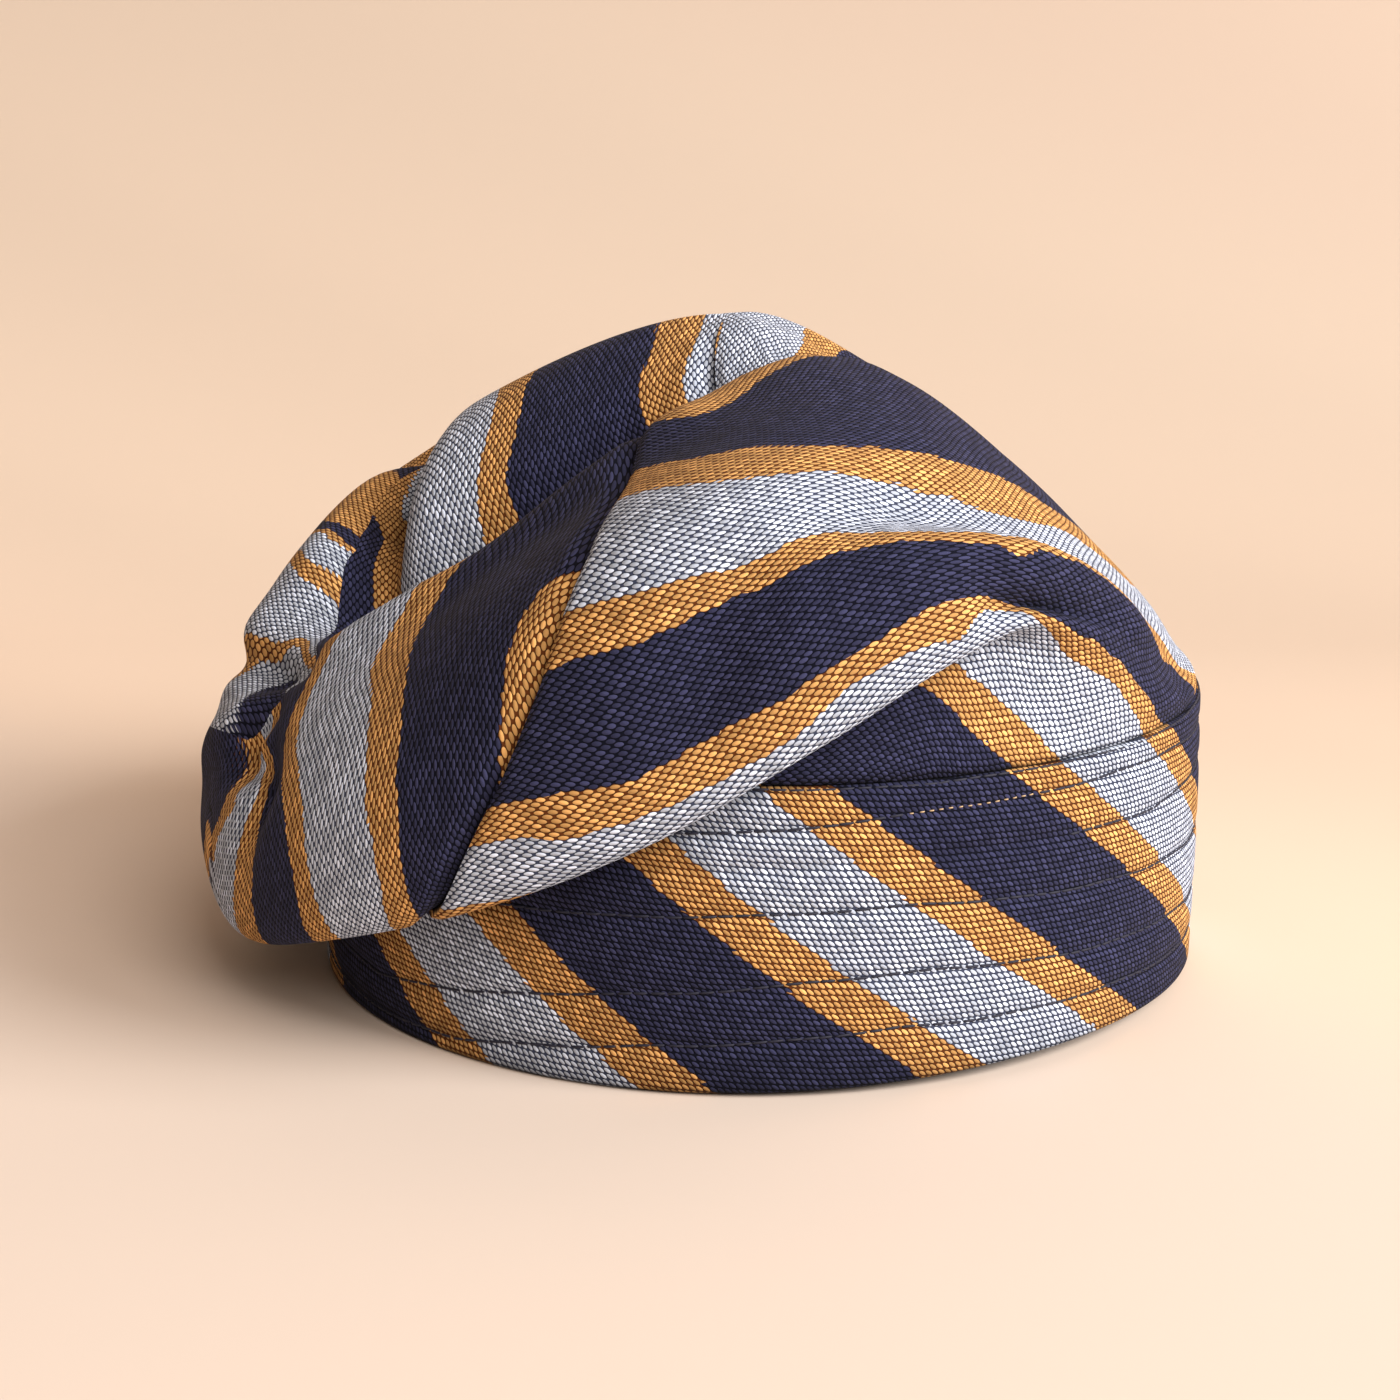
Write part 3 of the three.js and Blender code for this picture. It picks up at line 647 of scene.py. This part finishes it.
def makePanel(name, start, end, node, seamTurn, looseAt=None):
    columns = np.linspace(start, end, crown["columns"])
    near = np.array(crown["edgeColumns"])
    columns = np.unique(np.concatenate((columns, start + near, end - near)))
    stations = [span + np.arange(rows) / rows for span, rows in enumerate(crown["spanRows"])]
    stations = np.append(np.concatenate(stations), crown["lastStation"])
    angle, station = (part.ravel() for part in np.meshgrid(columns, stations, indexing="ij"))
    points = crownSurface(leaned(angle, station), station).reshape(len(columns), len(stations), 3)
    across, easy = (stripePlace(stripeGuides[name], footAngles[name], columns, stations, points, slack[use])
                    for use in ("stripes", "threads"))
    net = (len(columns), len(stations))
    angle, station = angle.reshape(net), station.reshape(net)
    along = threadRun(points, easy, angle, station, looseAt, False)
    beside = threadRun(points, easy, angle, station, looseAt, True)
    smooth = points.copy()
    around = unit(np.gradient(points, axis=0))
    normal = unit(np.cross(around, np.gradient(points, axis=1)))
    steps = np.linalg.norm(np.diff(points, axis=0), axis=2)
    fromStart = np.concatenate((np.zeros((1, len(stations))), np.cumsum(steps, axis=0)))
    fade = 1 - ease(stations, *crown["seamFade"])
    for away, (depth, reach) in zip((fromStart, fromStart[-1] - fromStart), seamTurn):
        points = points - normal * (depth * (1 - ease(away, 0, reach)) * fade)[:, :, None]
    points[0] += around[0] * crown["edgeGap"]
    points[-1] -= around[-1] * crown["edgeGap"]
    inner = points - normal * crown["wall"]
    total = len(columns) * len(stations)
    top = points[:, -1].mean(0)
    corners = np.vstack((points.reshape(-1, 3), inner.reshape(-1, 3), top, top - (0, 0, crown["wall"])))
    rows = len(stations)
    faces = gridQuads(len(columns), rows) + gridQuads(len(columns), rows, total, True)
    for column in range(len(columns) - 1):
        here = column * rows
        there = here + rows
        faces.append((here + rows - 1, there + rows - 1, 2 * total))
        faces.append((there + rows - 1 + total, here + rows - 1 + total, 2 * total + 1))
        faces.append((here, here + total, there + total, there))
    for row in range(rows - 1):
        last = total - rows + row
        faces.append((row, row + 1, row + 1 + total, row + total))
        faces.append((last, last + total, last + 1 + total, last + 1))
    faces.append((rows - 1, 2 * total, 2 * total + 1, rows - 1 + total))
    faces.append((total - 1, 2 * total - 1, 2 * total + 1, 2 * total))
    loops = np.array([corner for face in faces for corner in face])
    lobeWeave, over, side = lobeMap(columns, stations, smooth)
    over = over if name == "crownLeft" else np.zeros(net)
    uvs = {}
    for layer, first, second in (("cloth", beside, along), ("stripe", across, over),
                                 ("lobe", lobeWeave[:, :, 0], lobeWeave[:, :, 1])):
        flat = np.stack((first.ravel(), second.ravel()), axis=1)
        top = flat[rows - 1::rows].mean(0)
        uvs[layer] = np.vstack((flat, flat, top, top))[loops]
    piece = makePiece(name, corners, faces, uvs, crownCotton, node)
    if name == "crownLeft":
        side = np.concatenate((side.ravel(), side.ravel(), side[0, -1:], side[0, -1:]))
        attribute = piece.data.attributes.new("lobeSide", "FLOAT", "POINT")
        attribute.data.foreach_set("value", side)
    area = sum(face.area for face in piece.data.polygons) / 2
    print(name, len(faces), "faces", round(area, 4), "square metres")
    return piece


# How deep and how far in each panel turns at its two seams, and the pleat by station and angle
seams = {"right": ((0.9, 2.5), (1.2, 3)), "left": ((1.2, 3), (2.4, 6))}
leftPleat = ((2, 173.5), (2.4, 175.5), (2.8, 179), (3.2, 183), (3.5, 185), (4.44, 178))
frontSeam, backSeam = crown["frontSeam"], crown["backSeam"]
crownRight = makePanel("crownRight", frontSeam, 360 + backSeam, "crown_right", seams["right"])
crownLeft = makePanel("crownLeft", backSeam, frontSeam, "crown_left", seams["left"], leftPleat)

# The band: doubled cloth, quilted by rows of stitching
band = {
    "radius": 96, "wall": 3, "height": 61.3, "columns": 720, "join": 126, "hem": 1.4, "quilted": 5,
    "dip": 0.6, "dipWidth": 1.5, "puff": 0.5, "inside": 0.4, "turnIn": 0.5,
    "lift": 3, "liftAt": 315, "liftReach": 40,  # the rim rises a little at the right
    "hemRows": (0.25, 0.6, 1.1), "firstRow": 1.7, "wallRows": 90,
    "wander": ((0.2, 9, 1), (0.12, 23, 2.3)),  # rows of stitches waver: how far, how often, where from
    "rows": (  # stitch rows: angle and height along each
        ((126, 8), (210, 3), (230, 3.5), (257, 10), (285, 13), (300, 12.8), (320, 11.8), (360, 9), (486, 8)),
        ((126, 19), (215, 10.5), (250, 18.9), (275, 23.6), (290, 24), (310, 22), (345, 18.5), (486, 19)),
        ((126, 33), (230, 33), (263, 36.4), (288, 37.4), (300, 36.2), (322, 33.6), (345, 32.3), (486, 33)),
        ((126, 44), (260, 45), (290, 47), (311, 46.6), (325, 45.6), (345, 47), (486, 44)),
        ((126, 52), (255, 52.3), (272, 53), (291, 55.8), (305, 56.1), (330, 56.1), (360, 54), (486, 52)),
        ((126, 60.9), (486, 60.9)),
    ),
}


def rowHeight(row, angle):
    at, height = np.array(row, float).T
    turn = np.radians(angle)
    waver = sum(far * np.sin(turn * often + height[0] * start) for far, often, start in band["wander"])
    return np.interp(angle, at, height) + waver


def bandSkin(angle, height):
    out = np.full(np.broadcast(angle, height).shape, float(band["radius"]))
    out = out + band["puff"] * np.sin(np.pi * np.clip(height / band["height"], 0, 1))
    for row in band["rows"][:band["quilted"]]:
        out = out - band["dip"] * np.exp(-((height - rowHeight(row, angle)) / band["dipWidth"]) ** 2)
    return out


bandAngles = band["join"] + np.arange(band["columns"]) * 360 / band["columns"]
hemRows = np.array(band["hemRows"])
wallRows = np.linspace(band["firstRow"], band["height"] - band["firstRow"], band["wallRows"])
heights = np.concatenate((hemRows, wallRows, band["height"] - hemRows[::-1]))
edge = np.minimum(heights, band["height"] - heights)
rounding = band["hem"] * (1 - np.sqrt(np.clip(1 - (1 - np.clip(edge / band["hem"], 0, 1)) ** 2, 0, 1)))
profileHeight = np.concatenate(((0, 0), heights, (band["height"],) * 2))
lift = band["lift"] * np.exp(-((bandAngles - band["liftAt"]) / band["liftReach"]) ** 2)
standing = profileHeight[None] + lift[:, None] * (1 - profileHeight[None] / band["height"])
outerRadius = bandSkin(bandAngles[:, None], standing[:, 2:-2]) - rounding[None]
innerRadius = np.full((band["columns"], 1), band["radius"] - band["wall"] + band["inside"])
lowHem, highHem = outerRadius[:, :1] - band["turnIn"], outerRadius[:, -1:] - band["turnIn"]
profileRadius = np.concatenate((innerRadius, lowHem, outerRadius, highHem, innerRadius), axis=1)
turn = np.radians(bandAngles)[:, None]
bandPoints = np.stack((profileRadius * np.cos(turn), profileRadius * np.sin(turn), standing), axis=2)
rows = len(profileHeight)
faces = []
loops = []
for column in range(band["columns"]):
    following = (column + 1) % band["columns"]
    for row in range(rows):
        above = (row + 1) % rows
        here, there = column * rows, following * rows
        faces.append((here + row, there + row, there + above, here + above))
        loops.append(((column, row), (column + 1, row), (column + 1, above), (column, above)))
loops = np.array(loops).reshape(-1, 2)
loopAngle = band["join"] + loops[:, 0] * 360 / band["columns"]
loopHeight = standing[loops[:, 0] % band["columns"], loops[:, 1]]
arc = np.radians(loopAngle) * band["radius"]
bandFlat = np.stack((arc * math.sin(lean) + loopHeight * math.cos(lean),
                     arc * math.cos(lean) - loopHeight * math.sin(lean)), axis=1)
bandStripe = np.stack((bandAcross(loopAngle, loopHeight), np.zeros(len(loops))), axis=1)
bandUvs = {"cloth": bandFlat, "stripe": bandStripe}
bandPoints = bandPoints.reshape(-1, 3)
bandCloth = makePiece("bandCloth", bandPoints, faces, bandUvs, bandCotton, "band")
print("band made")

# Machine stitches in dark cotton thread, sunk in the rows, with one short run where pale thread shows
stitch = {
    "dark": {"length": 3.1, "gap": 0.12, "radius": 0.26}, "light": {"length": 1, "gap": 1, "radius": 0.15},
    "shape": ((0, 0.6, -0.1), (0.15, 1, 0.1), (0.85, 1, 0.1), (1, 0.6, -0.1)),  # along, thick, out
    "sides": 5, "startJitter": 0.06, "lengthJitter": (0.85, 1.05), "tilt": 0.12,
    "topGap": 0.3, "topRow": 60, "topSink": 0.5,  # the top row lies deeper, in the join with the crown
    "firstAngles": (126, 126, 126, 308, 126, 126), "paleRow": 4, "pale": (286, 303), "roughness": 0.7,
}


def makeStitches(name, row, ranges, size, material):
    corners = []
    faces = []
    sides = stitch["sides"]
    jitter, tiltMost = stitch["startJitter"], stitch["tilt"]
    for start, end in ranges:
        step = math.degrees((size["length"] + size["gap"]) / band["radius"])
        count = int((end - start) / step)
        for k in range(count):
            first = start + (k + chance.uniform(-jitter, jitter)) * step
            span = math.degrees(size["length"] / band["radius"]) * chance.uniform(*stitch["lengthJitter"])
            tilt = chance.uniform(-tiltMost, tiltMost)
            base = len(corners)
            for part, thick, rise in stitch["shape"]:
                angle = first + span * part
                height = min(rowHeight(row, angle), band["height"] - stitch["topGap"]) + tilt * (part - 0.5)
                sink = stitch["topSink"] if height > stitch["topRow"] else 0
                middle = bandSkin(np.array(angle), np.array(height)) + rise - sink
                radius = size["radius"] * thick
                for side in range(sides):
                    turn = 2 * math.pi * side / sides
                    out = middle + radius * math.cos(turn)
                    corners.append((out * math.cos(math.radians(angle)), out * math.sin(math.radians(angle)),
                                    height + radius * math.sin(turn)))
            for ring in range(len(stitch["shape"]) - 1):
                for side in range(sides):
                    here, there = base + ring * sides, base + (ring + 1) * sides
                    following = (side + 1) % sides
                    faces.append((here + side, here + following, there + following, there + side))
            faces.append(tuple(range(base + sides - 1, base - 1, -1)))
            faces.append(tuple(range(len(corners) - sides, len(corners))))
    return makePiece(name, np.array(corners, float), faces, {}, material, "band")


def sewingThread(name, colour):  # matt cotton, a thin line against the weave
    material, tree, shader = newMaterial(name)
    shader.inputs["Base Color"].default_value = linear(colour)
    shader.inputs["Roughness"].default_value = stitch["roughness"]
    return material


darkThread = sewingThread("navy sewing thread", "#15172b")
paleThread = sewingThread("pale sewing thread", "#b59a78")
for number, row in enumerate(band["rows"]):
    ranges = [(stitch["firstAngles"][number], band["join"] + 360)]
    if number == stitch["paleRow"]:
        ranges = [(band["join"], stitch["pale"][0]), (stitch["pale"][1], band["join"] + 360)]
    makeStitches("stitches" + str(number), row, ranges, stitch["dark"], darkThread)
paleRow = band["rows"][stitch["paleRow"]]
makeStitches("paleStitches", paleRow, [stitch["pale"]], stitch["light"], paleThread)

print("stitches made")

# A seamless paper sweep, peach, that gives a soft floor shadow and an even back
sweep = {
    "width": 24, "front": -4, "turn": 0.3, "radius": 0.38, "rise": 2.2, "bends": 16,
    "toneStart": -0.2, "toneLength": 1.2, "roughness": 0.9,
    "paintedShadeWay": (0.7, 1, 1),  # painted shade: the paper's colour darkens to the back, up and to the right, where the light falls off
    "paintedShadeTones": ((0.13, "#d7c8bc"), (0.25, "#e2cdba"), (0.42, "#d4c1af"), (0.62, "#c8b6a5"), (0.8, "#c1b0a0"),
              (1, "#bcaa9b")),
}
line = [(sweep["front"], 0), (sweep["turn"], 0)]
for step in range(1, sweep["bends"] + 1):
    bend = math.pi / 2 * step / sweep["bends"]
    line.append((sweep["turn"] + sweep["radius"] * math.sin(bend), sweep["radius"] * (1 - math.cos(bend))))
line.append((sweep["turn"] + sweep["radius"], sweep["rise"]))
sweepPoints = [(side * sweep["width"] / 2, y, z) for y, z in line for side in (-1, 1)]
sweepFaces = [(2 * k, 2 * k + 1, 2 * k + 3, 2 * k + 2) for k in range(len(line) - 1)]
sweepMesh = bpy.data.meshes.new("sweep")
sweepMesh.from_pydata(sweepPoints, [], sweepFaces)
sweepMesh.polygons.foreach_set("use_smooth", np.ones(len(sweepMesh.polygons), bool))
floor = bpy.data.objects.new("sweep", sweepMesh)
bpy.context.scene.collection.objects.link(floor)
paper, paperTree, paperShader = newMaterial("peach paper, painted shade")
spot = addNode(paperTree, "TexCoord", {})
upPaper = addNode(paperTree, "VectorMath", {"operation": "DOT_PRODUCT", 1: sweep["paintedShadeWay"]},
                  {0: spot.outputs["Object"]})
toneSpan = {"From Min": sweep["toneStart"], "From Max": sweep["toneStart"] + sweep["toneLength"]}
toTop = addNode(paperTree, "MapRange", toneSpan, {"Value": upPaper.outputs["Value"]})
paperStops = [(at, linear(tone)) for at, tone in sweep["paintedShadeTones"]]
# painted shade: the paper's colour runs darker along that way, standing in for the light's falloff
paperPaintedShade = addNode(paperTree, "ValToRGB", {}, {0: toTop}, ("EASE", paperStops))
paperTree.links.new(paperPaintedShade.outputs[0], paperShader.inputs["Base Color"])
paperShader.inputs["Roughness"].default_value = sweep["roughness"]
sweepMesh.materials.append(paper)

# Soft light from the right and above, with the room filling the shade
lights = (
    {"name": "key", "at": (2.46, -1.18, 1.5), "size": 1.7, "power": 143, "colour": "#fffdfb"},
    {"name": "front", "at": (0.8, -1.8, 1.5), "size": 1.2, "power": 43, "colour": "#fff2e6"},
)
aim = Vector((0, 0, 0.06))
room = {"colour": "#ffe2c4", "strength": 0.18}
for entry in lights:
    lamp = bpy.data.lights.new(entry["name"], "AREA")
    lamp.size = entry["size"]
    lamp.energy = entry["power"]
    lamp.color = linear(entry["colour"])[:3]
    holder = bpy.data.objects.new(entry["name"], lamp)
    holder.location = entry["at"]
    holder.rotation_euler = (aim - Vector(entry["at"])).to_track_quat("-Z", "Y").to_euler()
    bpy.context.scene.collection.objects.link(holder)
world = bpy.data.worlds.new("room")
world.use_nodes = True
background = world.node_tree.nodes["Background"]
background.inputs["Color"].default_value = linear(room["colour"])
background.inputs["Strength"].default_value = room["strength"]
bpy.context.scene.world = world
bpy.context.scene.view_settings.view_transform = "Standard"

camera = {"at": (-12.7, -550, 190), "tilt": 13.85, "lens": 65.87, "sensor": 36}  # millimetres from the axis
eye = bpy.data.cameras.new("camera")
eye.lens = camera["lens"]
eye.sensor_width = camera["sensor"]
eyeHolder = bpy.data.objects.new("camera", eye)
eyeHolder.location = np.array(camera["at"]) * mm + axis
eyeHolder.rotation_euler = (math.radians(90 - camera["tilt"]), 0, 0)
bpy.context.scene.collection.objects.link(eyeHolder)
bpy.context.scene.camera = eyeHolder
print("stage, lights and camera set")
